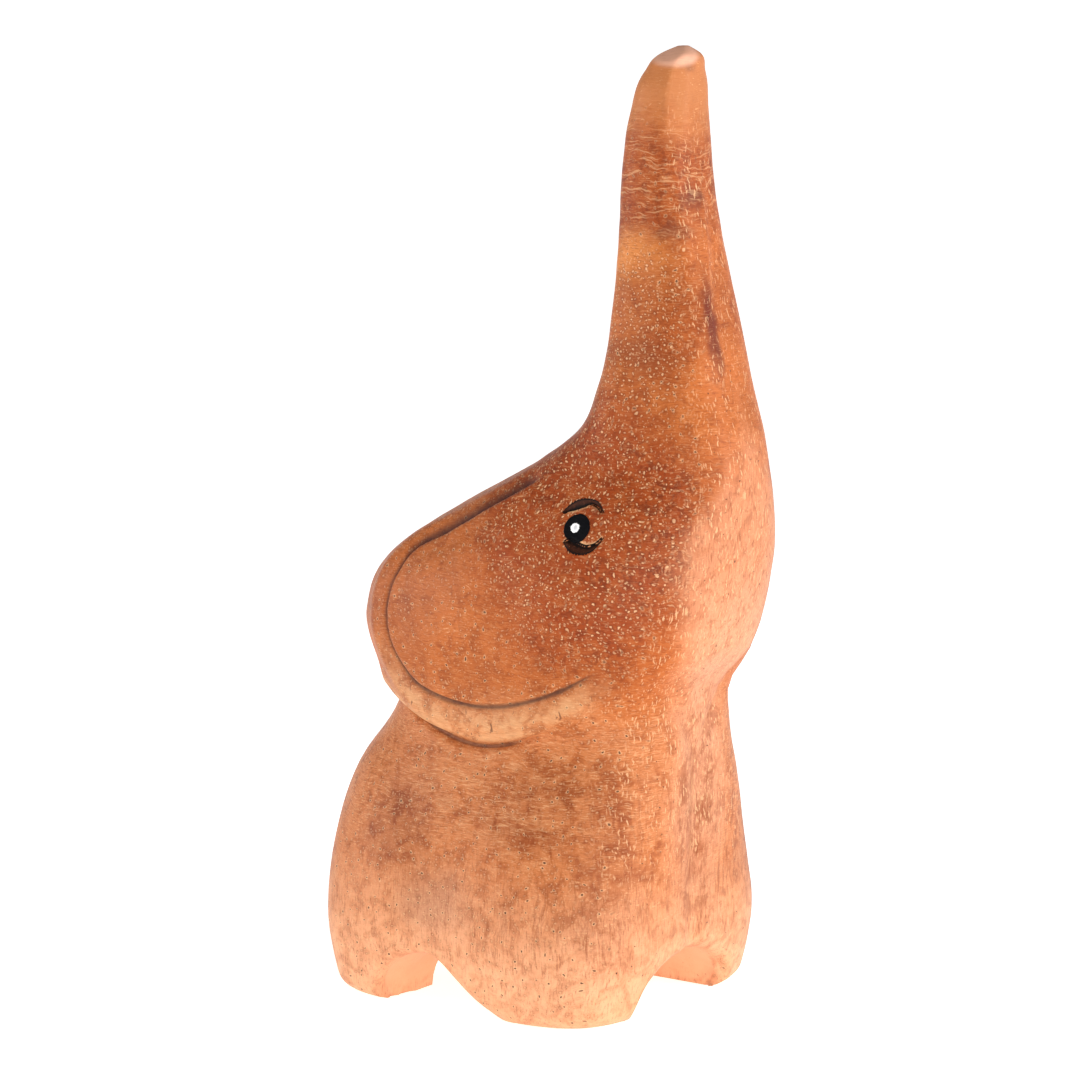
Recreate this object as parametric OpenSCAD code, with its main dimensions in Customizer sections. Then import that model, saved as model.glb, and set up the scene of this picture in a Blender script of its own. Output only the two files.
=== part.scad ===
// Standing elephant carved from one block of wood, with its trunk raised.
// The block is one closed skin of points. Rows run round the figure and columns
// run from the tip of the trunk down to the feet and in under the belly.
// X points forwards, Y to the elephant's left and Z up, in millimetres.

/* [Figure] */
// Height from the floor to the tip of the trunk
figure_h = 120; // [90:1:160]

/* [Body] */
// Length over the legs, from chest to rump
body_l = 47.4; // [42:0.2:52]
// Width over the legs
body_w = 43.2; // [38:0.2:47]

/* [Head] */
// Length of the head, from the brow to the back of the ears
head_l = 54.6; // [50:0.2:58]
// Width over the ears
head_w = 36.4; // [33:0.2:39]
// How far the ears stand out over the hollow between them at the back
nape_depth = 2.4; // [0:0.2:4]

/* [Trunk] */
// Width of the trunk half way up
trunk_w = 13.2; // [11:0.2:15]

/* [Arches under the belly] */
// Height of the arch that runs from side to side
side_arch_h = 6.6; // [5:0.2:9]
// Reach of the side arch ahead of its crown
side_arch_front = 12; // [10:0.2:15]
// Reach of the side arch behind its crown
side_arch_rear = 6.6; // [6:0.2:9]
// Height of the arch that runs from front to back
front_arch_h = 7.2; // [5:0.2:9]
// Width of the front arch on the floor
front_arch_w = 19.8; // [16:0.2:24]
// Rounding of the edge of each sole
sole_round = 2.2; // [1:0.1:3]

/* [Eyes] */
// Width of the painted pupil
pupil_d = 3.1; // [2:0.1:4]
// Width of the white dot on the pupil
glint_d = 1.1; // [0.6:0.1:1.6]
// Thickness of one coat of paint
coat_t = 0.15; // [0.1:0.05:0.3]

/* [Hidden] */

// The tables are for a figure of this height, and are scaled to the one asked for
drawn_h = 120;
k = figure_h / drawn_h;

// Level cuts through the body, the legs at the bottom. Front, back and side are
// shares of half the length and half the width, middle is in millimetres, and a
// squareness of 2 is an ellipse.
// height, front, back, side, middle, squareness
body_cuts = [
    [0, 0.91, -0.91, 0.95, 0, 4.4],
    [9, 0.996, -0.98, 1, 0, 4.2],
    [18, 1, -1, 0.97, 0.5, 3.6],
    [28, 1.02, -0.935, 0.86, 1.5, 3],
    [35, 1.025, -0.76, 0.75, 2.5, 2.7],
    [42, 1.03, -0.66, 0.68, 3, 2.6],
    [52, 1.03, -0.56, 0.64, 3.5, 2.6]
];

// Level cuts through the head, with shares of half its length and half its width
head_cuts = [
    [32, 0.86, -0.62, 0.9, 2.5, 2.6],
    [36, 0.885, -0.68, 0.94, 2.7, 2.6],
    [41, 0.95, -0.745, 0.97, 3, 2.6],
    [48, 1.055, -0.835, 1, 3.5, 2.6],
    [55, 1.118, -0.705, 0.965, 5, 2.6],
    [62, 1.157, -0.3, 0.825, 9, 2.6],
    [69, 1.152, 0.16, 0.627, 14.5, 2.6],
    [73, 1.125, 0.36, 0.56, 17, 2.7]
];

// Level cuts through the trunk: front and back in millimetres, and the side as a
// share of half the trunk's width
trunk_cuts = [
    [78, 29.2, 12.4, 1.36, 18.2, 2.9],
    [88, 26.9, 13.6, 1.06, 18.8, 3.2],
    [102, 23.9, 14.3, 0.83, 19, 3.2],
    [112, 23.1, 15.3, 0.72, 19.5, 3],
    [116.5, 23.2, 16.7, 0.61, 20.1, 2.7],
    [119, 22.9, 18.7, 0.37, 20.7, 2.4],
    [120, 21.6, 20.9, 0.06, 21.2, 2.1]
];

function sized(cuts, along, across) = [
    for (c = cuts) [c[0] * k, c[1] * along, c[2] * along, c[3] * across, c[4] * k, c[5]]
];

body_table = sized(body_cuts, body_l / 2, body_w / 2);
head_table = concat(
    sized(head_cuts, head_l / 2, head_w / 2),
    sized(trunk_cuts, k, trunk_w / 2)
);

// The brow and the rump reach furthest, and the origin is half way between them
brow_x = max([for (c = head_table) c[1]]);
rump_x = min([for (c = body_table) c[2]]);
middle_x = (brow_x + rump_x) / 2;

// Where the underside of the ears crosses the sides, the back and the chin
ear_low = 34 * k;
ear_rise_front = 9.5 * k;
ear_rise_back = 7 * k;
chin_drop = 4.5 * k;
ear_step = 0.9 * k;
chin_step = 7 * k;

// Crown of the side arch, ahead of the origin of the tables
crown_x = -3.2 * k;
front_arch_r = front_arch_w / 2;
// Height at which the plan of the feet is taken
foot_cut_h = 4 * k;
arch_round = 1.6 * k;
groin_power = 4;
// Share by which the side arch widens backwards towards the sides
arch_flare = 0.2;

// Columns round the figure, and rows on each stretch of it
columns = 72;
trunk_rows = 44;
step_rows = 3;
body_rows = 22;
sole_rows = 3;
belly_rows = 7;
// Share of the way inwards that a sole takes up where there is no foot
rim_share = 0.06;
// Rows crowd towards the tip of the trunk by this power
tip_power = 1.6;

// Middle of the eye on the side of the head, as a place forwards and up
eye = [15.8, 62] * k;

// A smooth curve through the rows of a table, read at height z
function gap(t, i) = t[i + 1][0] - t[i][0];
function rise(t, i) = (t[i + 1] - t[i]) / gap(t, i);
function tangent(t, i) =
    i == 0 ? rise(t, 0)
    : i == len(t) - 1 ? rise(t, i - 1)
    : (rise(t, i - 1) * gap(t, i) + rise(t, i) * gap(t, i - 1)) / (t[i + 1][0] - t[i - 1][0]);
function row_below(t, z, i = 0) = i < len(t) - 2 && z >= t[i + 1][0] ? row_below(t, z, i + 1) : i;
function hermite(t, i, h, u) =
    (2 * pow(u, 3) - 3 * pow(u, 2) + 1) * t[i]
    + (pow(u, 3) - 2 * pow(u, 2) + u) * h * tangent(t, i)
    + (3 * pow(u, 2) - 2 * pow(u, 3)) * t[i + 1]
    + (pow(u, 3) - pow(u, 2)) * h * tangent(t, i + 1);
function cut_at(t, z) =
    let (i = row_below(t, z), h = gap(t, i)) hermite(t, i, h, (z - t[i][0]) / h);

function clamp01(x) = max(0, min(1, x));
function smooth(x) = let (u = clamp01(x)) u * u * (3 - 2 * u);
function mix(a, b, share) = a + (b - a) * share;

// Distance from the middle of a cut to its edge at angle a
function reach(cut, a) =
    let (
        along = cos(a) > 0 ? cut[1] - cut[4] : cut[4] - cut[2],
        n = cut[5]
    )
    pow(pow(abs(cos(a)) / along, n) + pow(abs(sin(a)) / cut[3], n), -1 / n);
function edge(cut, a, inset = 0) =
    let (r = reach(cut, a) - inset) [cut[4] + r * cos(a), r * sin(a)];

// Hollow between the ears, deepest in the middle of the nape
function nape(a, z) =
    let (off = (1 + cos(a)) * 14, low = smooth((z / k - 36) / 4), high = smooth((66 - z / k) / 14))
    nape_depth * exp(-off) * low * high;

// Height of the underside of the ears at angle a
function ear_line(a) =
    let (c = cos(a))
    ear_low + (c > 0 ? ear_rise_front : ear_rise_back) * c * c - chin_drop * chin(a);
// Height over which the body passes into the head: a step at the ears, soft at the chin
function step_height(a) = mix(ear_step, chin_step, chin(a));
// 0 along the ears and 1 under the chin
function chin(a) = smooth((cos(a) - 0.45) / 0.35);

// Outer surface at angle a and height z, above the edge of the feet
function wall(a, z, inset = 0) =
    let (
        share = smooth((z - ear_line(a)) / step_height(a)),
        low = edge(cut_at(body_table, min(z, body_table[len(body_table) - 1][0])), a, inset),
        high = edge(cut_at(head_table, max(z, head_table[0][0])), a, nape(a, z)),
        p = mix(low, high, share)
    )
    [p.x, p.y, z];

// Height of the two crossing arches over a place on the floor. Both are ellipses, but the
// side arch runs out in a long slope ahead of its crown and flares at the sides.
function vault(x, y) =
    let (
        ahead = max(0, 1 - pow(max(0, x - crown_x) / side_arch_front, 1.6)),
        rear = side_arch_rear * (1 + arch_flare * smooth((abs(y) / k - 14) / 7)),
        behind = max(0, 1 - pow(max(0, crown_x - x) / rear, 2)),
        along = max(0, 1 - pow(y / front_arch_r, 2)),
        side = side_arch_h * pow(ahead, 1.9) * sqrt(behind),
        front = front_arch_h * sqrt(along)
    )
    side + front == 0 ? 0 : pow(pow(side, groin_power) + pow(front, groin_power), 1 / groin_power);

// Rounding of the lower edge at angle a: wide on a sole, narrow on an arch
function edge_round(a) =
    let (q = edge(cut_at(body_table, foot_cut_h), a, sole_round))
    mix(arch_round, sole_round, smooth(1 - vault(q.x, q.y) / (3 * k)));
function rim(a) = edge(cut_at(body_table, foot_cut_h), a, edge_round(a));
function rim_height(a) = let (q = rim(a)) vault(q.x, q.y);
function round_inset(a, z) =
    let (f = edge_round(a), u = clamp01((z - rim_height(a)) / f))
    f * (1 - sqrt(1 - pow(1 - u, 2)));

// Share of the way from the rim to the crown at which a sole ends
function sole_end(q) = max(rim_share, min(
    1 - front_arch_r / max(abs(q.y), 0.001),
    1 - (q.x > crown_x ? side_arch_front : side_arch_rear) / max(abs(q.x - crown_x), 0.001)
));
function belly(q, share) =
    let (x = mix(q.x, crown_x, share), y = q.y * (1 - share)) [x, y, vault(x, y)];

// Rows of points, from under the tip of the trunk down to just short of the crown
function block_rows() = concat(
    [for (i = [1:trunk_rows])
        let (share = pow(i / trunk_rows, tip_power))
        [for (a = angles()) wall(a, mix(figure_h, ear_line(a) + step_height(a), share))]],
    [for (i = [1:step_rows])
        [for (a = angles()) wall(a, ear_line(a) + step_height(a) * (1 - i / step_rows))]],
    [for (i = [1:body_rows])
        [for (a = angles())
            let (z = mix(ear_line(a), rim_height(a), sin(90 * i / body_rows)))
            wall(a, z, round_inset(a, z))]],
    [for (i = [1:sole_rows])
        [for (a = angles()) let (q = rim(a)) belly(q, sole_end(q) * i / sole_rows)]],
    [for (i = [1:belly_rows - 1])
        [for (a = angles())
            let (q = rim(a))
            belly(q, mix(sole_end(q), 1, pow(i / belly_rows, 1.7)))]]
);
function angles() = [for (i = [0:columns - 1]) 360 * i / columns];

// Closed skin over rows of points, with one point before the first row and one after the last
module skin(rows, first, last) {
    n = len(rows[0]);
    count = len(rows) * n;
    points = concat([for (row = rows) for (p = row) p], [first, last]);
    polyhedron(points, concat(
        [for (j = [0:n - 1]) [count, (j + 1) % n, j]],
        [for (i = [0:len(rows) - 2]) for (j = [0:n - 1])
            let (a = i * n + j, b = i * n + (j + 1) % n)
            each [[a, b, b + n], [a, b + n, a + n]]],
        [for (j = [0:n - 1]) [count + 1, count - n + j, count - n + (j + 1) % n]]
    ));
}

module figure_place() {
    translate([-middle_x, 0, 0]) children();
}

// Trunk, head, ears, body and legs, all one piece of wood
module carved_block() {
    tip_x = head_table[len(head_table) - 1][4];
    color("#c9814f") figure_place()
        skin(block_rows(), [tip_x, 0, figure_h], [crown_x, 0, vault(crown_x, 0)]);
}

// A place on the right side of the head, a little way out from the wood
function on_head(place, lift) =
    let (
        cut = cut_at(head_table, place[1]),
        along = place[0] > cut[4] ? cut[1] - cut[4] : cut[4] - cut[2],
        out = 1 - pow(abs(place[0] - cut[4]) / along, cut[5])
    )
    [place[0], -cut[3] * pow(out, 1 / cut[5]), place[1]] + lift * eye_out;
eye_out = [0.45, -0.86, 0.24];

// Thin closed coat over a grid of places, between two heights above the wood
module coat(places, low, high) {
    n = len(places[0]);
    m = len(places);
    half = m * n;
    points = concat(
        [for (row = places) for (p = row) on_head(p, high)],
        [for (row = places) for (p = row) on_head(p, low)]
    );
    border = concat(
        [for (j = [0:n - 2]) j],
        [for (i = [0:m - 2]) i * n + n - 1],
        [for (j = [n - 1:-1:1]) (m - 1) * n + j],
        [for (i = [m - 1:-1:1]) i * n]
    );
    polyhedron(points, concat(
        [for (i = [0:m - 2]) for (j = [0:n - 2])
            let (a = i * n + j) each [[a, a + n, a + n + 1], [a, a + n + 1, a + 1]]],
        [for (i = [0:m - 2]) for (j = [0:n - 2])
            let (a = half + i * n + j) each [[a, a + n + 1, a + n], [a, a + 1, a + n + 1]]],
        [for (i = [0:len(border) - 1])
            let (a = border[i], b = border[(i + 1) % len(border)])
            each [[a, b, b + half], [a, b + half, a + half]]]
    ));
}

// Grid of places on a round spot
function spot(middle, d, n = 9) = [
    for (i = [0:n - 1]) [for (j = [0:n - 1])
        let (u = 2 * i / (n - 1) - 1, v = 2 * j / (n - 1) - 1)
        middle + d / 2 * [u * sqrt(1 - v * v / 2), v * sqrt(1 - u * u / 2)]]
];

// Grid of places on a crescent: an arc round the eye from one angle to another,
// widest in the middle and thin at both tips
function crescent(radius, from, to, width, n = 17) = [
    for (i = [0:n - 1]) [for (j = [0:4])
        let (
            a = mix(from, to, i / (n - 1)),
            half = width / 2 * (0.1 + 0.9 * sin(180 * i / (n - 1))),
            r = radius + half * (j / 2 - 1)
        )
        eye + r * [cos(a), sin(a)]]
];

module pupil() {
    color("#141210") coat(spot(eye, pupil_d), 0, coat_t);
}

module glint() {
    color("white") coat(spot(eye - [0.2, 0] * k, glint_d, 7), coat_t, 2 * coat_t);
}

module upper_lid() {
    color("#4a2414") coat(crescent(3 * k, 142, 34, -0.8 * k), 0, coat_t);
}

module lower_lid() {
    color("#3a1a10") coat(crescent(2.7 * k, 232, 345, 0.9 * k), 0, coat_t);
}

module right_side() {
    figure_place() children();
}

module left_side() {
    figure_place() mirror([0, 1, 0]) children();
}

carved_block();
right_side() pupil();  // right_pupil
left_side() pupil();  // left_pupil
right_side() glint();  // right_glint
left_side() glint();  // left_glint
right_side() upper_lid();  // right_upper_lid
left_side() upper_lid();  // left_upper_lid
right_side() lower_lid();  // right_lower_lid
left_side() lower_lid();  // left_lower_lid
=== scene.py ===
"""The looks of a carved wooden elephant, built as an add-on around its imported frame.

The wood is one surface worked out from level cuts, as in the frame, with the carver's
cuts added: the ear lines, the eyelids, the hollows between the legs and the tail.
Lengths in the tables are millimetres on a figure 120 mm high, +X forwards, +Y left.
"""

import bpy
import numpy as np
from bpy.props import FloatProperty, FloatVectorProperty
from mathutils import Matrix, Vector


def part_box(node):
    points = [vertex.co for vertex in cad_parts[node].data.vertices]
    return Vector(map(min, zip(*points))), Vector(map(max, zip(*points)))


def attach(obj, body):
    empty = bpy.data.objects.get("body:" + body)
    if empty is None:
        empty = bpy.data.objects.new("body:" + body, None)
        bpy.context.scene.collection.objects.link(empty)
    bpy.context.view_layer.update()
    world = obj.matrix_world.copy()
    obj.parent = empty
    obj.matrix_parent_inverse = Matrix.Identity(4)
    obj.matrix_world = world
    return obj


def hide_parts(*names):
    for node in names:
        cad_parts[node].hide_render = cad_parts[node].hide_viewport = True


bl_info = {
    "name": "Carved Wooden Elephant",
    "version": (1, 0, 0),
    "blender": (4, 5, 0),
    "location": "View3D > Sidebar > Elephant",
    "description": "Carves, stains and paints a small wooden elephant and sets its stage",
    "category": "Object",
}

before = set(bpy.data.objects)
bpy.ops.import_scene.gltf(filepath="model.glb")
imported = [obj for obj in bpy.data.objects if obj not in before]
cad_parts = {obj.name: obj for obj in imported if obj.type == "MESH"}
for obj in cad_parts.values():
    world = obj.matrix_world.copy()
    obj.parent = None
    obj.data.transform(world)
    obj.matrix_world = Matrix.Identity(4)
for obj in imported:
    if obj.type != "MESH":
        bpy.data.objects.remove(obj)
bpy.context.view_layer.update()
BLOCK_LOW, BLOCK_HIGH = (np.array(corner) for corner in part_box("carved_block"))

DRAWN_H = 120.0
MM = float(BLOCK_HIGH[2] - BLOCK_LOW[2]) / DRAWN_H

# ---------------------------------------------------------------- shape of the block

# Half sizes that the shares in the tables stand for
BODY_HALF = (23.7, 21.6)
HEAD_HALF = (27.3, 18.2)
TRUNK_HALF = 6.6

# height, front, back, side, middle, squareness
BODY_CUTS = (
    (0, 0.91, -0.91, 0.95, 0, 4.4),
    (9, 0.996, -0.98, 1, 0, 4.2),
    (18, 1, -1, 0.97, 0.5, 3.6),
    (28, 1.02, -0.935, 0.86, 1.5, 3),
    (35, 1.025, -0.76, 0.75, 2.5, 2.7),
    (42, 1.03, -0.66, 0.68, 3, 2.6),
    (52, 1.03, -0.56, 0.64, 3.5, 2.6),
)
HEAD_CUTS = (
    (32, 0.86, -0.62, 0.9, 2.5, 2.6),
    (36, 0.885, -0.68, 0.94, 2.7, 2.6),
    (41, 0.95, -0.745, 0.97, 3, 2.6),
    (48, 1.055, -0.835, 1, 3.5, 2.6),
    (55, 1.118, -0.705, 0.965, 5, 2.6),
    (62, 1.157, -0.3, 0.825, 9, 2.6),
    (69, 1.152, 0.16, 0.627, 14.5, 2.6),
    (73, 1.125, 0.36, 0.56, 17, 2.7),
)
TRUNK_CUTS = (
    (78, 29.2, 12.4, 1.36, 18.2, 2.9),
    (88, 26.9, 13.6, 1.06, 18.8, 3.2),
    (102, 23.9, 14.3, 0.83, 19, 3.2),
    (112, 23.1, 15.3, 0.72, 19.5, 3),
    (116.5, 23.2, 16.7, 0.61, 20.1, 2.7),
    (119, 22.9, 18.7, 0.37, 20.7, 2.4),
    (120, 21.6, 20.9, 0.06, 21.2, 2.1),
)
NAPE_DEPTH = 2.4

# Underside of the ears: its lowest height, and how much it rises or drops from there
EAR_LOW = 34.0
EAR_RISE_FRONT = 9.5
EAR_RISE_BACK = 7.0
CHIN_DROP = 4.5

# Heights over which the body passes into the head
EAR_STEP = 0.9
CHIN_STEP = 7.0

# Arches under the belly. Side arch: height, reach forwards and backwards of its crown.
# Front arch: height and half width.
CROWN_X = -3.2
SIDE_ARCH = (6.6, 12.0, 6.6)
ARCH_FLARE = 0.2
FRONT_ARCH = (7.2, 9.9)
GROIN_POWER = 4.0

# Lower edge: height that its outline is taken at, its roundings, and least width of a sole
FOOT_CUT_H = 4.0
SOLE_ROUND = 2.2
ARCH_ROUND = 1.6
RIM_SHARE = 0.06

# Middle of the eye on the side of the head, as a place forwards and up
EYE = np.array((15.8, 62.0))

# The cut round the ear, as places forwards and up, from the brow round to the cheek
EAR_CUT = (
    (8.6, 67.4), (2.6, 63.7), (-3.6, 60), (-9, 56.9), (-11.7, 52), (-11.6, 45.8),
    (-8.2, 41.5), (-1.6, 39.2), (6, 39.3), (13.6, 41.6), (21, 45.8),
)

# Edges of the eyelids next to the pupil and away from it, as places forwards and up. The
# upper lid's run forwards and the lower lid's backwards, so that away is to their left.
UPPER_LID = (
    ((13.3, 63.6), (14.2, 63.9), (16, 64.5), (16.9, 64.85), (17.8, 64.55), (18.7, 63.9)),
    ((13.2, 63.65), (13.8, 64.4), (14.6, 65.05), (16.4, 65.45), (17.8, 65.2), (18.9, 64.1)),
)
LOWER_LID = (
    ((19.4, 61.3), (18.6, 60.45), (17.4, 60.1), (16.2, 60.4), (14.9, 60.8), (14.3, 60.4)),
    ((19.5, 61.1), (19, 60.2), (18.1, 59.3), (16.9, 58.95), (15.4, 59.2), (14.3, 60.2)),
)
GLINT_OFF = np.array((-0.23, 0.03))

# Sides of the head, and whether each is mirrored
SIDES = (("right", False), ("left", True))

# Flats cut on the tip of the trunk, as a direction and a distance: one slants up to its top
# and the other faces forwards and to the right
TRUNK_FLATS = (((0, -0.6, 0.8), 96.5), ((0.86, -0.5, 0.05), 26.6))
PARE_SOFT = 0.1

# Columns round the block, and rows on each stretch of it. They stand closer together
# at the eyes, the ears and the tip, each given as a place, a width and a strength.
COLUMNS = 396
COLUMN_CROWDS = ((65, 17, 1.3), (295, 17, 1.3))
HEAD_CROWDS = ((62, 5, 3), (46, 14, 1.6), (119.6, 2, 3))
BODY_CROWDS = ((0, 0.05, 3), (1, 0.08, 4))
HEAD_ROWS = 188
STEP_ROWS = 4
BODY_ROWS = 41
SOLE_ROWS = 3
BELLY_ROWS = 12
HEAD_LOW = EAR_LOW + EAR_STEP

# Points along and across an eyelid, and columns round the floor
LID_POINTS = (61, 13)
FLOOR_COLUMNS = 96

# Where a coat of paint or stain starts, under the surface of the wood
SUNK = -0.15

# name, turn from the camera, rise, distance, width, height, power, colour
LIGHTS = (
    ("right_box", 72, -1, 0.6, 0.35, 0.4, 3.6, (1, 0.98, 0.97)),
    ("left_box", -88, -2, 0.6, 0.3, 0.4, 2.3, (1, 0.98, 0.97)),
    ("low_box", 10, -3, 0.42, 0.5, 0.05, 0.8, (1, 0.98, 0.97)),
)
SKY_LOW = (0.78, 0.78, 0.78)
SKY_HIGH = (0.32, 0.32, 0.32)

# Patches of the wood: middle, half sizes, softness of the edge, strength
ZONES = {
    "heart": (
        ((16, 12.5, 61), (14.5, 12, 17), 0.3, 1),
        ((19, 4, 103.5), (9, 9, 8), 0.55, 0.7),
        ((24, 5, 85), (3.2, 4, 6), 0.6, 0.5),
    ),
    "smudges": (
        ((-7.4, 19.6, 23.6), (4.5, 7, 6), 0.6, 1),
        ((11.5, 18, 27), (6, 6, 4.5), 0.7, 0.8),
        ((20.4, 15.4, 22), (3, 4, 13), 0.7, 0.8),
        ((25, 1.5, 25), (5, 2.6, 16), 0.6, 0.7),
    ),
    "blotches": (
        ((23.8, -2.1, 101.6), (2.2, 1.7, 1.2), 0.7, 1),
        ((22.8, -5, 97.6), (2.4, 2.2, 0.9), 0.8, 0.7),
        ((23.4, -1.4, 117.4), (1.2, 1.2, 0.9), 0.7, 0.6),
    ),
    "combed": (
        ((19, 4, 104), (9, 9, 7), 0.5, 1),
        ((5, 19, 28), (10, 8, 8), 0.7, 0.6),
    ),
    "band": (((20.5, 7.8, 83), (5, 4, 1.8), 0.7, 0.6),),
    "grey": (((-1.5, 21, 14), (5, 5, 3.4), 0.7, 0.35),),
    "streak": (((27.0, -2.7, 85.5), (2.4, 1.0, 6.5), 0.6, 0.9),),
    "glow": (((17, 6, 94.5), (4.5, 5, 2.6), 0.9, 0.65),),
    # flat: painted highlight, a pale pink patch on the flat at the tip of the trunk
    "flat": (((21.3, -2.2, 118.9), (3.4, 3.2, 1.7), 0.25, 0.85),),
    "porous": (((19, 7, 84), (9, 9, 14), 0.5, 0.9),),
}

# Lines in the wood: scale and reach of their straying, stretch, turn, detail, roughness
LINES = {
    "upright": (0.3, 0.5, (4.6, 4.6, 0.55), 0, 3.0, 0.65),
    "level": (0.2, 0.7, (0.8, 0.8, 7.5), 0, 3.0, 0.65),
    "scratches": (0.12, 2.5, (1.6, 1.6, 6.5), 0.35, 2.0, 0.5),
    "combs": (0.16, 2.0, (0.3, 0.3, 3.6), 0, 2.0, 0.6),
    "runs": (0.2, 1.0, (1.5, 1.5, 0.1), 0, 3.0, 0.7),
    "cracks": (0.5, 0.8, (1.5, 1.5, 0.22), 0, 2.0, 0.5),
}


def table(cuts, along, across):
    """Scales the shares of some level cuts: front and back by along, side by across."""
    return np.array(cuts, float) * (1, along, along, across, 1, 1)


BODY = table(BODY_CUTS, *BODY_HALF)
HEAD = np.vstack((table(HEAD_CUTS, *HEAD_HALF), table(TRUNK_CUTS, 1, TRUNK_HALF)))
MIDDLE_X = (HEAD[:, 1].max() + BODY[:, 2].min()) / 2


def smooth(x):
    """0 below 0, 1 above 1, and 3x^2 - 2x^3 between."""
    u = np.clip(x, 0, 1)
    return u * u * (3 - 2 * u)


def mix(a, b, share):
    """a where share is 0, b where it is 1."""
    return a + (b - a) * share


def bell(x, width):
    """Bell curve of height 1: e to the minus (x over width) squared."""
    return np.exp(-(x / width) ** 2)


def curve_through(knots, values, at):
    """Cubics through values at the knots, each slope the gap-weighted mean of its two sides."""
    gaps = np.diff(knots)
    rises = np.diff(values, axis=0) / gaps[:, None]
    inner = rises[:-1] * gaps[1:, None] + rises[1:] * gaps[:-1, None]
    slopes = np.vstack((rises[:1], inner / (knots[2:] - knots[:-2])[:, None], rises[-1:]))
    i = np.clip(np.searchsorted(knots, at, side="right") - 1, 0, len(gaps) - 1)
    h = gaps[i][..., None]
    u = (at - knots[i])[..., None] / h
    return (
        (2 * u**3 - 3 * u**2 + 1) * values[i]
        + (u**3 - 2 * u**2 + u) * h * slopes[i]
        + (3 * u**2 - 2 * u**3) * values[i + 1]
        + (u**3 - u**2) * h * slopes[i + 1]
    )


def edge(cuts, angle, z, inset=0.0):
    """Edge of the level cut at height z, along angle from its middle: a superellipse
    whose radius is (|cos/along|^n + |sin/across|^n)^(-1/n), drawn in by inset."""
    cut = curve_through(cuts[:, 0], cuts[:, 1:], np.clip(z, cuts[0, 0], cuts[-1, 0]))
    front, back, side, middle, n = np.moveaxis(cut, -1, 0)
    c, s = np.cos(angle), np.sin(angle)
    along = np.where(c > 0, front - middle, middle - back)
    r = (np.abs(c / along) ** n + np.abs(s / side) ** n) ** (-1 / n) - inset
    return middle + r * c, r * s


def ear_line(angle):
    """Height of the underside of the ears: lowest at the sides, with cosine-squared rises to
    the nape and to the chin, and a drop under the chin."""
    c = np.cos(angle)
    rise = np.where(c > 0, EAR_RISE_FRONT, EAR_RISE_BACK)
    return EAR_LOW + rise * c**2 - CHIN_DROP * chin(angle)


def step_height(angle):
    """Height over which body passes into head: a sharp step at the ears, soft at the chin."""
    return mix(EAR_STEP, CHIN_STEP, chin(angle))


def chin(angle):
    """0 along the ears and 1 under the chin."""
    return smooth((np.cos(angle) - 0.45) / 0.35)


def nape(angle, z):
    """Depth of the hollow between the ears, a bell round the middle of the nape."""
    spread = np.exp(-14 * (1 + np.cos(angle)))
    return NAPE_DEPTH * spread * smooth((z - 36) / 4) * smooth((66 - z) / 14)


def wall(angle, z, inset=0.0):
    """Outer surface: the body's cut below the ear line, the head's above it."""
    share = smooth((z - ear_line(angle)) / step_height(angle))
    low = edge(BODY, angle, z, inset)
    high = edge(HEAD, angle, z, nape(angle, z))
    return np.stack((mix(low[0], high[0], share), mix(low[1], high[1], share), z), -1)


def vault(x, y):
    """Height of the underside: two crossing arches joined by a power mean. Both are ellipses,
    but the side arch runs out in a long slope ahead of its crown, (1 - u^1.6)^1.9, and
    behind it flares towards the sides."""
    u = np.maximum(0, x - CROWN_X) / SIDE_ARCH[1]
    v = np.maximum(0, CROWN_X - x) / (SIDE_ARCH[2] * (1 + ARCH_FLARE * smooth((abs(y) - 14) / 7)))
    ahead = np.maximum(0, 1 - u**1.6) ** 1.9
    side = SIDE_ARCH[0] * ahead * np.sqrt(np.maximum(0, 1 - v**2))
    front = FRONT_ARCH[0] * np.sqrt(np.maximum(0, 1 - (y / FRONT_ARCH[1]) ** 2))
    return (side**GROIN_POWER + front**GROIN_POWER) ** (1 / GROIN_POWER)


def edge_round(angle):
    """Rounding of the lower edge: wide on a sole, narrow on an arch."""
    q = edge(BODY, angle, np.full_like(angle, FOOT_CUT_H), SOLE_ROUND)
    return mix(ARCH_ROUND, SOLE_ROUND, smooth(1 - vault(*q) / 3))


def crowded(count, start, end, *crowds):
    """count + 1 places from start to end that stand closer together in some crowds, each a
    centre, a width and a strength: the running sum of 1 + strength bells, inverted."""
    at = np.linspace(start, end, 4001)
    density = 1 + sum(strength * bell(at - centre, width) for centre, width, strength in crowds)
    total = np.concatenate(((0,), np.cumsum((density[1:] + density[:-1]) / 2)))
    return np.interp(np.linspace(0, total[-1], count + 1), total, at)


# ---------------------------------------------------------------- the carver's cuts

def unit(vectors):
    """The vectors, each divided by its length."""
    return vectors / np.linalg.norm(vectors, axis=-1, keepdims=True)


def line_through(places, count):
    """count places evenly along the smooth line through some others, knotted by chord length."""
    places = np.array(places, float)
    chords = np.linalg.norm(np.diff(places, axis=0), axis=1)
    knots = np.concatenate(((0,), np.cumsum(chords)))
    return curve_through(knots, places, np.linspace(0, knots[-1], count))


def head_side(x, z):
    """Half width of the head at a place forwards and up: its superellipse solved for the side."""
    cut = curve_through(HEAD[:, 0], HEAD[:, 1:], z)
    front, back, side, middle, n = np.moveaxis(cut, -1, 0)
    along = np.where(x > middle, front - middle, middle - back)
    return side * np.maximum(0, 1 - np.abs((x - middle) / along) ** n) ** (1 / n)


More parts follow.
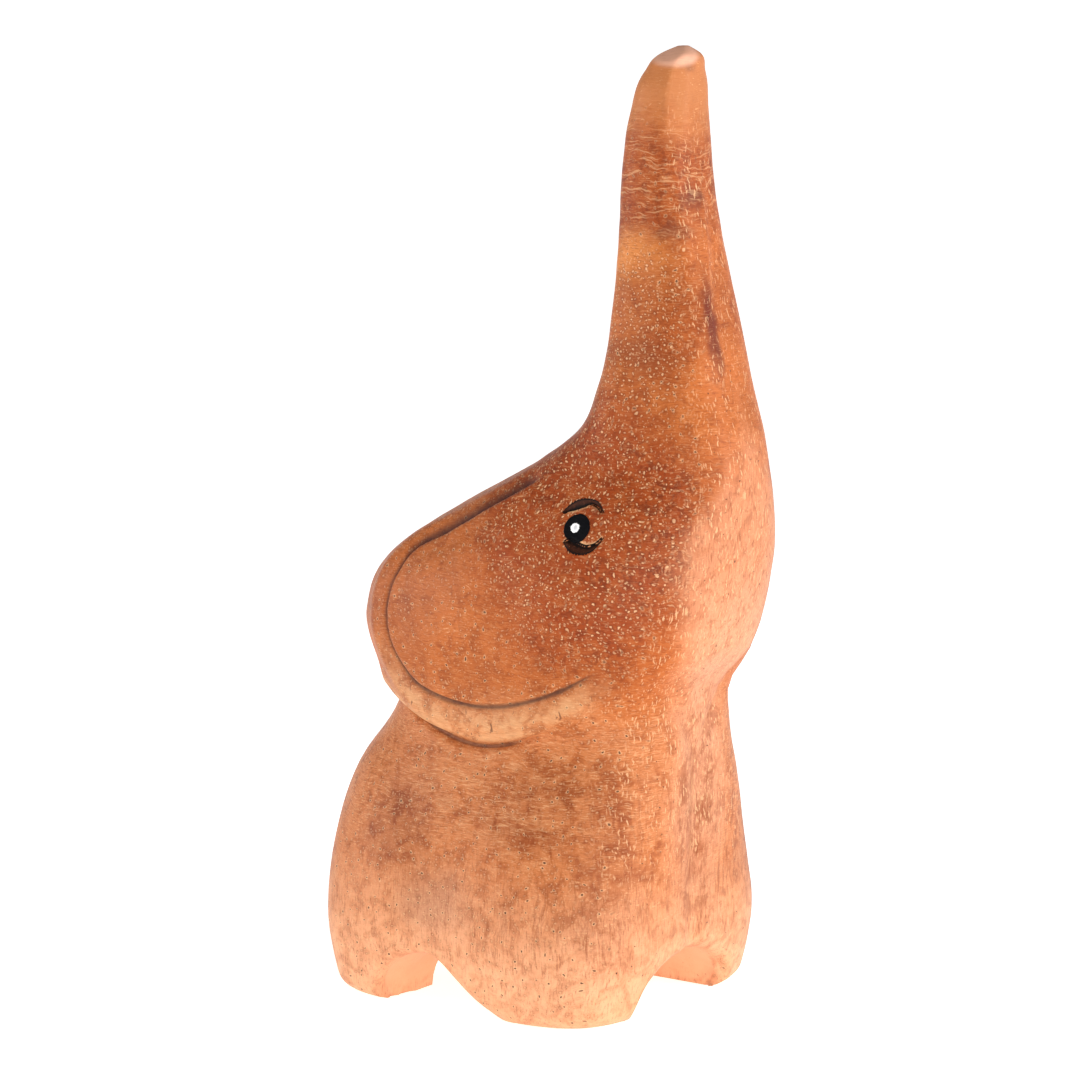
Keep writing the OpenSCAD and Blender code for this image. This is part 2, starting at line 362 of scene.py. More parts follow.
def on_head(places):
    """Points on the right side of the head at places forwards and up, and the directions out
    of the wood there, from the slopes of the half width."""
    x, z = np.moveaxis(places, -1, 0)
    h = 0.05
    slope_x = (head_side(x + h, z) - head_side(x - h, z)) / (2 * h)
    slope_z = (head_side(x, z + h) - head_side(x, z - h)) / (2 * h)
    points = np.stack((x, -head_side(x, z), z), -1)
    return points, unit(np.stack((-slope_x, -np.ones_like(x), -slope_z), -1))


class CutLine:
    """A line cut into the right side of the head, with its directions along and across."""

    def __init__(self, places, count=300):
        self.points, out = on_head(line_through(places, count))
        self.along = unit(np.gradient(self.points, axis=0))
        self.across = np.cross(out, self.along)
        steps = np.linalg.norm(np.diff(self.points, axis=0), axis=1)
        self.run = np.concatenate(((0,), np.cumsum(steps)))
        self.length = self.run[-1]

    def measure(self, points, reach=7.0):
        """Distance of points across the line, + to the left of its run, and their place along
        it: the offset from its nearest point, taken along the two directions there."""
        low = self.points.min(0) - reach
        high = self.points.max(0) + reach
        near = ((points > low) & (points < high)).all(-1)
        p = points[near]
        i = np.argmin((self.points**2).sum(-1) - 2 * p @ self.points.T, axis=1)
        off = p - self.points[i]
        across = np.full(points.shape[:-1], 99.0)
        along = np.zeros(points.shape[:-1])
        across[near] = (off * self.across[i]).sum(-1)
        along[near] = self.run[i] + (off * self.along[i]).sum(-1)
        return across, along


class LidLine(CutLine):
    """The edge of an eyelid next to the pupil, with the lid's width along it."""

    def __init__(self, inner, outer):
        super().__init__(inner)
        self.inner = line_through(inner, len(self.points))
        self.outer = line_through(outer, len(self.points))
        self.width = np.linalg.norm(self.outer - self.inner, axis=1) + 0.02

    def share(self, points):
        """Share of the lid's width that points lie across it, and 1 between its two tips."""
        across, along = self.measure(points, 2.0)
        width = np.interp(along, self.run, self.width)
        ends = smooth(along / 0.25 + 0.5) * smooth((self.length - along) / 0.25 + 0.5)
        return across / width, ends


EAR_LINE = CutLine(EAR_CUT)
LIDS = {"upper": LidLine(*UPPER_LID), "lower": LidLine(*LOWER_LID)}


def waves(points, seed, count, shortest, longest):
    """Sum of count sine waves in chosen directions, scaled to about 1 high."""
    draw = np.random.default_rng(seed)
    turn = unit(draw.normal(size=(count, 3)))
    pitch = 2 * np.pi / draw.uniform(shortest, longest, count)
    phase = draw.uniform(0, 2 * np.pi, count)
    return np.sin(points @ (turn * pitch[:, None]).T + phase).sum(-1) / np.sqrt(count)


def ear_relief(points, marks, shape):
    """The cut round the ear: a bell-shaped groove, steep on the ear's side and wider on its
    rim's, a raised lip inside it and a rounded rim outside, all fading at both ends."""
    across, along = EAR_LINE.measure(points)
    share = along / EAR_LINE.length
    upper = 1 - smooth((share - 0.2) / 0.16)
    fade = smooth(along / 3) * smooth((EAR_LINE.length - along) / 8)
    width = np.where(across > 0, 0.26, mix(0.36, 1.9, upper))
    groove = bell(across, width) * fade
    # Mask for painted shade in the cut, widest on the rim's side of its upper part
    marks["groove"] = np.maximum(marks["groove"], groove)
    lip = bell(across - 0.95, 0.75) * fade
    rim = bell(across + 2.7, 1.5) * fade * mix(1, 0.3, upper)
    # Painted highlight along the ear's lower rim, where it catches light from below
    worn = bell(across + 2.0, 1.5) * fade * smooth((share - 0.42) / 0.16)
    marks["bare_and_lit"] = np.maximum(marks["bare_and_lit"], 0.5 * worn)
    depth = shape.groove_depth / MM * mix(0.85, 1.7, upper)
    return 0.2 * lip + 0.5 * rim - depth * groove


def lid_relief(points, marks, shape):
    """The two eyelids: V cuts, steep next to the pupil and sloping up to their outer edge."""
    total = np.zeros(points.shape[:-1])
    for lid in LIDS.values():
        share, ends = lid.share(points)
        cut = smooth(share / 0.22 + 0.5) * np.clip(1.05 - share, 0, 1) * ends
        marks["bare_and_lit"] = np.maximum(marks["bare_and_lit"], bell(share + 0.17, 0.14) * ends)
        total -= shape.lid_depth / MM * cut
    return total


def body_relief(points, marks, angle):
    """Soft hollows of the body as bells across their lines: the chest between the front
    legs, the flanks over the side arch, the rump between the rear legs, and the crease
    under the ears."""
    x, y, z = np.moveaxis(points, -1, 0)
    chest_y = 9 * smooth((z - 30) / 18)
    chest = bell(np.abs(y) - chest_y, 1.5) * smooth((z - 5) / 4) * (1 - smooth((z - 36) / 14))
    flank = bell(x - CROWN_X - 0.1 * z, 5.5) * smooth((30 - z) / 26) * smooth((np.abs(y) - 10) / 4)
    rump = bell(y, 2.2) * smooth((19 - z) / 12) * smooth((-12 - x) / 4)
    crease = bell(z - ear_line(angle) + 0.15, 0.4) * (1 - smooth((x - 6) / 6))
    # Mask for painted shade in the crease under the ears
    marks["crease"] = crease
    # Painted highlight on the lip of the ear's lower edge
    ledge = bell(z - ear_line(angle) - 1.1, 0.5) * (1 - smooth((x - 9) / 6))
    marks["bare_and_lit"] = np.maximum(marks["bare_and_lit"], 0.6 * ledge)
    return -0.75 * chest * smooth((x - 10) / 6) - 0.8 * flank - 0.9 * rump - 0.6 * crease


def tail_relief(points, shape):
    """The tail in low relief: a bell-shaped roll down the rump between two shallow cuts,
    with a fuller tuft at its lower end."""
    x, y, z = np.moveaxis(points, -1, 0)
    middle = 0.5 * np.sin((z - 8) / 5)
    off = np.abs(y - middle)
    tuft = bell(z - 12.2, 2.0)
    width = mix(0.95, 1.45, tuft) * mix(1, 1.25, smooth((z - 20) / 8))
    reach = smooth((z - 9.3) / 1.6) * smooth((29.5 - z) / 5) * smooth((-10 - x) / 3)
    strands = 0.12 * tuft * np.cos(off * 9) * bell(off, 1.4)
    roll = shape.tail_height / MM * bell(off, width)
    return reach * (roll + strands - 0.35 * bell(off - 1.25 - width, 0.55))


def trunk_relief(points):
    """The low ridge up the front of the trunk."""
    x, y, z = np.moveaxis(points, -1, 0)
    middle = -3.2 * bell(z - 85, 11)
    ridge = bell(y - middle, 1.0) * smooth((z - 76) / 8) * smooth((106 - z) / 8)
    return 0.28 * ridge * smooth((x - 20) / 3)


def relief(points, angle, shape):
    """How far the carver's cuts raise or lower the plain surface at points, and masks for the
    colours
    laid with them: painted shade in the ear cuts and the crease under the ears, scraped lid edges,
    and painted highlight on the ear's lower rim and lip."""
    side = points.copy()
    side[..., 1] = -np.abs(side[..., 1])
    marks = {name: np.zeros(points.shape[:-1]) for name in ("groove", "bare_and_lit", "crease")}
    height = ear_relief(side, marks, shape) + lid_relief(side, marks, shape)
    height += body_relief(points, marks, angle)
    height += tail_relief(points, shape) + trunk_relief(points)
    hand = waves(points, 11, 9, 8, 22) + 0.22 * waves(points, 12, 12, 2.6, 5)
    height += shape.unevenness / MM * hand
    return height * smooth((points[..., 2] - 0.1) / 1.2), marks


def pare(points, towards, distance):
    """Cuts points back to a flat that lies at a distance along a direction, by a softened
    maximum, near the tip of the trunk."""
    towards = unit(np.array(towards, float))
    over = points @ towards - distance
    cut = PARE_SOFT * np.logaddexp(0, over / PARE_SOFT) * smooth((points[..., 2] - 106) / 4)
    return points - cut[..., None] * towards


def block_rows():
    """Rows of points round the figure, from under the tip of the trunk to just short of the
    crown of the arches, with the angle of each and a share that is 1 under the belly."""
    angle = np.radians(crowded(COLUMNS, 0, 360, *COLUMN_CROWDS))[:-1]
    line, step = ear_line(angle), step_height(angle)
    nominal = crowded(HEAD_ROWS, DRAWN_H, HEAD_LOW, *HEAD_CROWDS)[1:]
    share = ((DRAWN_H - nominal) / (DRAWN_H - HEAD_LOW))[:, None]
    head = wall(angle + 0 * share, mix(DRAWN_H, line + step, share))
    down = np.arange(1, STEP_ROWS + 1)[:, None] / STEP_ROWS
    ledge = wall(angle + 0 * down, line + step * (1 - down))
    q = np.stack(edge(BODY, angle, np.full_like(angle, FOOT_CUT_H), edge_round(angle)), -1)
    low = vault(*q.T)
    share = crowded(BODY_ROWS, 0, 1, *BODY_CROWDS)[1:, None]
    z = mix(line, low, share)
    rounding = edge_round(angle)
    u = np.clip((z - low) / rounding, 0, 1)
    body = wall(angle + 0 * z, z, rounding * (1 - np.sqrt(1 - (1 - u) ** 2)))
    reach = np.where(q[:, 0] > CROWN_X, SIDE_ARCH[1], SIDE_ARCH[2])
    sole = np.minimum(
        1 - FRONT_ARCH[1] / np.maximum(np.abs(q[:, 1]), 0.001),
        1 - reach / np.maximum(np.abs(q[:, 0] - CROWN_X), 0.001),
    )
    sole = np.maximum(RIM_SHARE, sole)
    inward = np.arange(1, SOLE_ROWS + 1)[:, None] / SOLE_ROWS
    curve = (np.arange(1, BELLY_ROWS) / BELLY_ROWS)[:, None] ** 1.7
    share = np.vstack((sole * inward, mix(sole, 1, curve)))
    x = mix(q[:, 0], CROWN_X, share)
    y = q[:, 1] * (1 - share)
    under = np.stack((x, y, vault(x, y)), -1)
    rows = np.concatenate((head, ledge, body, under))
    belly = np.zeros(rows.shape[:2])
    belly[-len(under):] = 1
    return rows, np.broadcast_to(angle, belly.shape), belly


def rows_out(rows):
    """Directions out of a skin of closed rows: down the rows crossed with along them."""
    along = np.roll(rows, -1, 1) - np.roll(rows, 1, 1)
    down = np.gradient(rows, axis=0)
    out = np.cross(down, along)
    return out / np.maximum(np.linalg.norm(out, axis=-1, keepdims=True), 1e-9)


# ---------------------------------------------------------------- meshes

def new_piece(name, points, faces, marks=None):
    """A mesh object from points in the tables' millimetres: moved so that the brow and the
    rump are equally far from the origin, and brought to the frame's size."""
    points = (np.asarray(points) - (MIDDLE_X, 0, 0)) * MM
    mesh = bpy.data.meshes.new(name)
    mesh.vertices.add(len(points))
    mesh.vertices.foreach_set("co", points.astype(np.float32).ravel())
    corners = np.concatenate([group.ravel() for group in faces])
    sizes = np.concatenate([np.full(len(group), group.shape[1]) for group in faces])
    mesh.loops.add(len(corners))
    mesh.loops.foreach_set("vertex_index", corners.astype(np.int32))
    mesh.polygons.add(len(sizes))
    starts = np.concatenate(((0,), np.cumsum(sizes)[:-1]))
    mesh.polygons.foreach_set("loop_start", starts.astype(np.int32))
    mesh.update(calc_edges=True)
    mesh.shade_smooth()
    for mark, values in (marks or {}).items():
        layer = mesh.attributes.new(mark, "FLOAT", "POINT")
        layer.data.foreach_set("value", values.astype(np.float32).ravel())
    piece = bpy.data.objects.new(name, mesh)
    bpy.context.scene.collection.objects.link(piece)
    return piece


def grid_faces(rows, columns, closed):
    """Four-cornered faces over a grid of points, wrapped round where the rows are closed."""
    i = np.arange(rows - 1)[:, None]
    j = np.arange(columns if closed else columns - 1)[None, :]
    a = i * columns + j
    b = i * columns + (j + 1) % columns
    return np.stack((a, a + columns, b + columns, b), -1).reshape(-1, 4)


def skin(rows, first, last):
    """Points and faces of closed rows with one point above the first and one below the last."""
    m, n = rows.shape[:2]
    points = np.concatenate((rows.reshape(-1, 3), (first, last)))
    j = np.arange(n)
    k = (j + 1) % n
    top = np.stack((np.full(n, m * n), j, k), -1)
    end = np.stack((np.full(n, m * n + 1), (m - 1) * n + k, (m - 1) * n + j), -1)
    return points, (grid_faces(m, n, True), top, end)


def coat(upper, lower):
    """Points and faces of a thin closed coat: two sheets of the same grid and a strip that
    joins their borders."""
    m, n = upper.shape[:2]
    half = m * n
    points = np.concatenate((upper.reshape(-1, 3), lower.reshape(-1, 3)))
    sheet = grid_faces(m, n, False)
    index = np.arange(half).reshape(m, n)
    border = np.concatenate((index[0, :-1], index[:-1, -1], index[-1, :0:-1], index[:0:-1, 0]))
    ahead = np.roll(border, -1)
    strip = np.stack((border, ahead, ahead + half, border + half), -1)
    return points, (sheet, sheet[:, ::-1] + half, strip)


def coated(places, low, high, shape, mirrored):
    """A coat over places on the head's side, between two heights over the carved wood."""
    points, out = on_head(places)
    x, y = points[..., 0], points[..., 1]
    height, _ = relief(points, np.arctan2(y, x - 9), shape)
    sheets = [points + (height + lift)[..., None] * out for lift in (high, low)]
    if mirrored:
        sheets = [sheet[::-1] * (1, -1, 1) for sheet in sheets]
    return coat(*sheets)


def coat_both(shape, places, low, high, finish, piece, node, slope=None):
    """Lays a coat on the right side of the head and its mirror image on the left. slope is
    the share across the coat at each place."""
    for side, mirrored in SIDES:
        points, faces = coated(places, low, high, shape, mirrored)
        marks = {}
        if slope is not None:
            marks["slope"] = np.tile((slope[::-1] if mirrored else slope).ravel(), 2)
        dress(new_piece(side + piece, points, faces, marks), finish, side + node)


def dress(piece, material, node):
    """Gives a piece its material, hangs it from the root body and hides the frame's part for the
    node.
    """
    piece.data.materials.append(material)
    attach(piece, "root")
    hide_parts(node)


# ---------------------------------------------------------------- material recipes

class Wire:
    """A number that varies over a surface. Sums with it add Math nodes to its recipe."""

    def __init__(self, recipe, socket):
        self.recipe = recipe
        self.socket = socket

    def __add__(self, other):
        return self.recipe.math("ADD", self, other)

    def __sub__(self, other):
        return self.recipe.math("SUBTRACT", self, other)

    def __rsub__(self, other):
        return self.recipe.math("SUBTRACT", other, self)

    def __mul__(self, other):
        return self.recipe.math("MULTIPLY", self, other)

    def __abs__(self):
        return self.recipe.math("ABSOLUTE", self)

    def or_more(self, other):
        return self.recipe.math("MAXIMUM", self, other)

    def step(self, start, end):
        """Smooth step from 0 at start to 1 at end, which may lie either way round."""
        node = self.recipe.add(
            "ShaderNodeMapRange",
            {"interpolation_type": "SMOOTHSTEP"},
            {"Value": self, "From Min": start, "From Max": end},
        )
        return Wire(self.recipe, node.outputs["Result"])

    __radd__ = __add__
    __rmul__ = __mul__


class Recipe:
    """The nodes of one material or of the world."""

    def __init__(self, tree):
        self.tree = tree
        tree.nodes.clear()

    def add(self, kind, settings=None, inputs=None):
        """Adds a node of a kind with its settings, then feeds its sockets values or links."""
        node = self.tree.nodes.new(kind)
        for name, value in (settings or {}).items():
            setattr(node, name, value)
        for name, value in (inputs or {}).items():
            socket = node.inputs[name]
            if isinstance(value, Wire):
                value = value.socket
            if isinstance(value, bpy.types.NodeSocket):
                self.tree.links.new(value, socket)
            else:
                socket.default_value = value
        return node

    def math(self, operation, *values):
        node = self.add("ShaderNodeMath", {"operation": operation}, dict(enumerate(values)))
        return Wire(self, node.outputs[0])

    def vector(self, operation, *values):
        node = self.add("ShaderNodeVectorMath", {"operation": operation}, dict(enumerate(values)))
        return node.outputs["Value"] if operation == "LENGTH" else node.outputs["Vector"]

    def scaled(self, vector, scale, location=(0, 0, 0), turn=(0, 0, 0)):
        """The vector scaled, then turned, then moved."""
        inputs = {"Vector": vector, "Scale": scale, "Rotation": turn, "Location": location}
        return self.add("ShaderNodeMapping", {}, inputs).outputs["Vector"]

    def split(self, vector):
        node = self.add("ShaderNodeSeparateXYZ", {}, {"Vector": vector})
        return [Wire(self, socket) for socket in node.outputs]

    def joined(self, x, y, z):
        return self.add("ShaderNodeCombineXYZ", {}, {"X": x, "Y": y, "Z": z}).outputs["Vector"]

    def noise(self, vector, scale, detail=2.0, roughness=0.5, distortion=0.0):
        inputs = {
            "Vector": vector,
            "Scale": scale,
            "Detail": detail,
            "Roughness": roughness,
            "Distortion": distortion,
        }
        return Wire(self, self.add("ShaderNodeTexNoise", {}, inputs).outputs[0])

    def cells(self, vector, scale, flat=True):
        """Distance to the nearest of scattered points and a number of that point's own."""
        settings = {"voronoi_dimensions": "2D" if flat else "3D", "feature": "F1"}
        node = self.add("ShaderNodeTexVoronoi", settings, {"Vector": vector, "Scale": scale})
        own = self.split(node.outputs["Color"])[0]
        return Wire(self, node.outputs["Distance"]), own

    def blend(self, share, first, second):
        """Colour from first, where share is 0, to second, where it is 1."""
        colours = [c if isinstance(c, bpy.types.NodeSocket) else (*c, 1) for c in (first, second)]
        node = self.add(
            "ShaderNodeMix",
            {"data_type": "RGBA"},
            {0: share, 6: colours[0], 7: colours[1]},
        )
        return node.outputs[2]

    def mark(self, name):
        """A number kept at the points of the piece."""
        node = self.add("ShaderNodeAttribute", {"attribute_name": name})
        return Wire(self, node.outputs["Fac"])


class Finish(Recipe):
    """A material with one principled shader, laid over places in the tables' millimetres."""

    def __init__(self, name, roughness, coat=0.0, coat_roughness=0.3, specular=0.5):
        self.material = bpy.data.materials.new(name)
        self.material.use_nodes = True
        super().__init__(self.material.node_tree)
        values = {
            "Roughness": roughness,
            "Coat Weight": coat,
            "Coat Roughness": coat_roughness,
            "Specular IOR Level": specular,
        }
        self.shader = self.add("ShaderNodeBsdfPrincipled", {}, values)
        self.add("ShaderNodeOutputMaterial", {}, {"Surface": self.shader.outputs["BSDF"]})
        coordinates = self.add("ShaderNodeTexCoord")
        self.colour = None
        self.out = coordinates.outputs["Normal"]
        self.place = self.scaled(coordinates.outputs["Object"], (1 / MM,) * 3, (MIDDLE_X, 0, 0))
        x, y, z = self.split(self.place)
        self.side = self.joined(x, abs(y), z)

    def give(self, name, value):
        """Feeds one socket of the shader."""
        socket = value.socket if isinstance(value, Wire) else value
        self.tree.links.new(socket, self.shader.inputs[name])

    def bump(self, height, depth, strength=1.0):
        """Raises the surface by height, which is 1 for depth metres."""
        inputs = {"Height": height, "Distance": depth, "Strength": strength}
        self.give("Normal", self.add("ShaderNodeBump", {}, inputs).outputs["Normal"])

    def strayed(self, vector, scale, stray):
        """Places moved about by a smooth noise, by up to about stray."""
        noise = self.add("ShaderNodeTexNoise", {}, {"Vector": vector, "Scale": scale, "Detail": 3.0})
        centred = self.vector("SUBTRACT", noise.outputs["Color"], (0.5, 0.5, 0.5))
        return self.vector("MULTIPLY_ADD", centred, (2 * stray,) * 3, vector)

    def patch(self, vector, centre, radii, soft=0.35):
        """1 inside an ellipsoid round a place and 0 outside it, with a soft edge."""
        scale = tuple(1 / r for r in radii)
        location = tuple(-c / r for c, r in zip(centre, radii))
        distance = Wire(self, self.vector("LENGTH", self.scaled(vector, scale, location)))
        return distance.step(1 + soft, 1 - soft)

    def zone(self, vector, name):
        """The strongest of a zone's patches at each place, each times its strength."""
        total = None
        for centre, radii, soft, strength in ZONES[name]:
            one = self.patch(vector, centre, radii, soft) * strength
            total = one if total is None else total.or_more(one)
        return total

    def lines(self, name):
        """A noise drawn out into lines of one kind."""
        scale, stray, stretch, turn, detail, roughness = LINES[name]
        drawn = self.scaled(self.strayed(self.place, scale, stray), stretch, turn=(0, turn, 0))
        return self.noise(drawn, 1.0, detail, roughness)

    def over(self, share, colour):
        """Lays a colour over what is there already, where share is above 0."""
        self.colour = self.blend(share, self.colour, colour)


def wood_finish(wood):
    """Waxed wood: tan, with a brown heart round the eyes and a paler, rosier front that is partly
    painted light, crossed by pores that show as dots where they are cut across and as dashes
    where they run along. Painted light also pales the feet, the underside of the arches, a flat
    at the trunk's tip and the ear's lower rim, and painted shade darkens the ear cuts and crease."""
    f = Finish("waxed_wood", 0.42, 0.03, 0.34, 0.13)
    place = f.place
    z = f.split(f.side)[2]
    out_y, out_z = f.split(f.out)[1:]
    stray = f.strayed(f.side, 0.11, 3.2)
    stray_x, stray_y, stray_z = f.split(stray)

    # Where each colour of wood lies
    heart = f.zone(stray, "heart")
    lean = f.noise(place, 0.3, 4.0, 0.6)
    front = (stray_x - 0.9 * stray_y - 12 * (z + 8 * lean).step(60, 80)).step(15.5, 23.5)
    # Front of the figure, laid paler and rosier: partly the wood's own tone and partly painted light
    # where the lamps fall on the front
    rosy_front_light = front * z.step(8, 20) * z.step(112, 100) * (1 - 0.4 * z.step(48, 60))
    # Share towards the feet, where a paler colour is painted in as light bounced up from the floor
    feet = stray_z.step(22, 4)
    tip = (stray_z + 7 * lean).step(110, 118)
    upper = (stray_z + 5 * lean).step(38, 46)

    # Growth rings round the heart, and broad and fine changes of tone
    ring_x, ring_y, ring_z = f.split(f.scaled(f.strayed(place, 0.07, 4.5), (1, 0.8, 0.55)))
    round_heart = f.vector("LENGTH", f.joined(ring_x - 14, ring_y, ring_z - 34))
    rings = f.noise(f.joined(round_heart, 0.0, 0.0), 0.42, 3.0, 0.6)
    broad = f.noise(place, 0.09, 4.0, 0.55)
    clouds = f.noise(place, 0.42, 5.0, 0.62, 0.6)

    f.colour = f.blend(broad.step(0.38, 0.64), wood.tan, wood.amber)
    upper_colour = f.blend(broad.step(0.36, 0.62), wood.chestnut, wood.sienna)
    warm = clouds.step(0.42, 0.6) * stray_z.step(6, 22)
    f.over(warm * 0.5, wood.sienna)
    f.over(upper, upper_colour)
    f.over(clouds.step(0.48, 0.72) * 0.6, wood.umber)
    f.over(rings.step(0.44, 0.8) * 0.4 * (1 - front), wood.umber)
    f.over(heart * (0.55 + 0.45 * clouds.step(0.3, 0.6)), wood.heart)
    mottle = f.noise(f.strayed(place, 0.8, 0.6), 1.0, 4.0, 0.7)
    dark_share = heart * (0.25 + 0.75 * broad.step(0.62, 0.42))
    f.over(mottle.step(0.45, 0.62) * dark_share * 0.8, wood.walnut)
    # Paler rosy front: wood tone with painted light over it
    f.over(rosy_front_light * (0.5 + 0.4 * clouds.step(0.7, 0.4)), wood.rosy_front_light)
    # Painted light: paler wood towards the feet, for the light bounced up from the floor
    f.over(feet * (0.5 + 0.45 * clouds.step(0.65, 0.35)), wood.pale)
    f.over(mottle.step(0.54, 0.7) * (0.35 - 0.22 * feet), wood.umber)
    f.over(tip * 0.85, wood.tip)

    # Darker patches on the flank, the chest and the trunk
    smudged = f.zone(stray, "smudges") * (0.25 + 0.55 * clouds.step(0.35, 0.65))
    f.over(smudged, wood.umber)
    runs_share = z.step(36, 26) * z.step(2, 14) * (0.12 + 0.36 * stray_x.step(-2, 8))
    f.over(f.lines("runs").step(0.48, 0.72) * runs_share, wood.umber)
    f.over(f.zone(stray, "band"), wood.umber)
    f.over(f.zone(stray, "grey"), wood.ash)
    f.over(f.zone(f.strayed(place, 0.35, 1.3), "streak"), wood.russet)
    blotches = f.zone(f.strayed(place, 0.55, 1.7), "blotches")
    f.over(blotches * 0.65, wood.plum)
    f.over(f.zone(stray, "glow"), wood.glow)
    # Painted highlight on the flat at the tip of the trunk
    f.over(f.zone(place, "flat"), wood.flat)

    # Fibres, upright in front and on the feet and level elsewhere, and fine scratches
    lengthwise = front.or_more(stray_z.step(26, 12) * 0.8)
    fibre = f.lines("upright") * lengthwise + f.lines("level") * (1 - lengthwise)
    plain = 1 - 0.75 * tip
    f.over(fibre.step(0.52, 0.68) * 0.55 * plain, wood.umber)
    f.over(fibre.step(0.47, 0.3) * (0.5 - 0.3 * upper) * plain, wood.cream)
    scratches = f.lines("scratches").step(0.6, 0.72) * clouds.step(0.6, 0.4)
    f.over(scratches * 0.45, wood.cream)

    # Combed strokes on the trunk and the flank, each pale beside dark
    combs = f.lines("combs")
    combed = f.zone(stray, "combed")
    f.over(combs.step(0.54, 0.66) * combed * 0.4, wood.cream)
    f.over(combs.step(0.44, 0.34) * combed * 0.4, wood.umber)

    # Pores cut across, as pale dots on a darker ground
    sway = f.strayed(f.strayed(place, 0.35, 0.8), 2.2, 0.16)
    sway_x, sway_y, sway_z = f.split(sway)
    across, own = f.cells(f.joined(sway_x, sway_z, 0.0), 1.35)
    halo = across.step(0.22, 0.09) * (0.3 + 0.7 * own)
    fleck, own_fleck = f.cells(f.joined(sway_x + 0.4 * sway_z, sway_z * 0.8, 5.0), 2.3)
    halo = halo.or_more(fleck.step(0.22, 0.08) * own_fleck.step(0.35, 0.9) * 0.6)
    facing = abs(out_y).step(0.35, 0.7).or_more(abs(out_z).step(0.6, 0.9) * 0.5)
    crowd = heart.or_more(f.zone(stray, "porous"))
    crowd = crowd.or_more(0.15 + 0.4 * clouds.step(0.4, 0.62)) * (1 - 0.8 * z.step(93, 98))
    dots = halo * facing * crowd
    shade = across.step(0.42, 0.2) * own.step(0.1, 0.5) * facing * crowd
    f.over(shade * 0.45, wood.walnut)
    f.over(dots * 0.85, wood.pore)

    # Pores cut along their length, as short upright dashes
    along, own_dash = f.cells(f.scaled(sway, (3.1, 3.1, 0.62)), 1.0, False)
    dash = along.step(0.42, 0.2) * own_dash.step(0.15, 0.4)
    dashes = dash * (1 - abs(out_y).step(0.55, 0.9)) * (0.25 + 0.75 * clouds.step(0.35, 0.6))
    dashes = dashes * z.step(10, 24) * (1 - 0.9 * tip)
    f.over(dashes * 0.6, wood.pore)

    # Pinholes with a pale edge
    flank, own_pin = f.cells(f.joined(sway_x, sway_z, 3.0), 0.62)
    chest, own_chest = f.cells(f.joined(sway_y, sway_z, 7.0), 0.4)
    few = (1 - heart * 0.6) * (1 - tip)
    pins = flank.step(0.08, 0.05) * own_pin.step(0.45, 0.5) * facing * few
    pins = pins.or_more(chest.step(0.045, 0.022) * own_chest.step(0.6, 0.65) * (1 - facing) * few)
    rings_round = flank.step(0.17, 0.09) * own_pin.step(0.45, 0.5) * facing * few
    f.over(rings_round * 0.4, wood.pore)
    f.over(pins * 0.85, wood.pinhole)

    # What the carver's tools left, with painted light and shade: pale under the arches, dark in the
    # ear cuts and the crease, pale along the ear's lower rim
    groove = f.mark("groove")
    bare_and_lit = f.mark("bare_and_lit")
    # Painted light: the underside of the arches laid pale, for the light bounced up from the floor
    f.over(f.mark("tunnel_bounce_light") * 0.85, wood.pale)
    # Painted shade in the cut round each ear
    f.over(groove.step(0.05, 0.85) * (0.6 + 0.6 * mottle), wood.groove)
    # Painted shade in the crease under the ears
    f.over(f.mark("crease").step(0.45, 0.9) * (0.5 + 0.4 * mottle), wood.groove)
    # Cream over the scraped lid edges, and as painted highlight over the ear's lower rim and lip
    f.over(bare_and_lit * (0.35 + 0.6 * clouds.step(0.6, 0.4)), wood.cream)
    cracks = f.lines("cracks").step(0.66, 0.7) * bare_and_lit.step(0.1, 0.4)
    f.over(cracks * 0.7, wood.groove)

    f.give("Base Color", f.colour)
    grit = f.noise(place, 3.2, 4.0, 0.7)
    f.give("Roughness", 0.36 + 0.16 * grit + 0.18 * groove + 0.1 * dots)
    relief_height = fibre * 0.5 + grit * 0.35 - dots * 0.25 - pins * 1.6 - dashes * 0.3
    f.bump(relief_height, 0.1 * MM, 0.7)
    return f.material


def pupil_finish(paint):
    """Black paint, laid on in small strokes."""
    f = Finish("pupil_black", 0.5, 0.0, 0.3, 0.05)
    strokes = f.noise(f.scaled(f.place, (1.2, 1.2, 5)), 1.6, 3.0, 0.6)
    f.give("Base Color", f.blend(strokes.step(0.45, 0.75) * 0.5, paint.black, paint.black_worn))
    f.give("Roughness", 0.42 + 0.2 * strokes)
    f.bump(strokes, 0.05 * MM, 0.6)
    return f.material


def glint_finish(paint):
    """White paint with one thin grey drag of the brush."""
    f = Finish("glint_white", 0.32, 0.2, 0.2, 0.5)
    strokes = f.noise(f.scaled(f.place, (3, 3, 1.4)), 1.6, 3.0, 0.6)
    drag = f.patch(f.strayed(f.side, 1.6, 0.12), (15.66, 14.9, 62.12), (0.2, 2, 0.26), 0.5)
    colour = f.blend(strokes.step(0.5, 0.8) * 0.35, paint.white, paint.grey)
    f.give("Base Color", f.blend(drag * 0.7, colour, paint.grey))
    f.give("Roughness", 0.28 + 0.2 * strokes)
    f.bump(strokes, 0.05 * MM, 0.6)
    return f.material


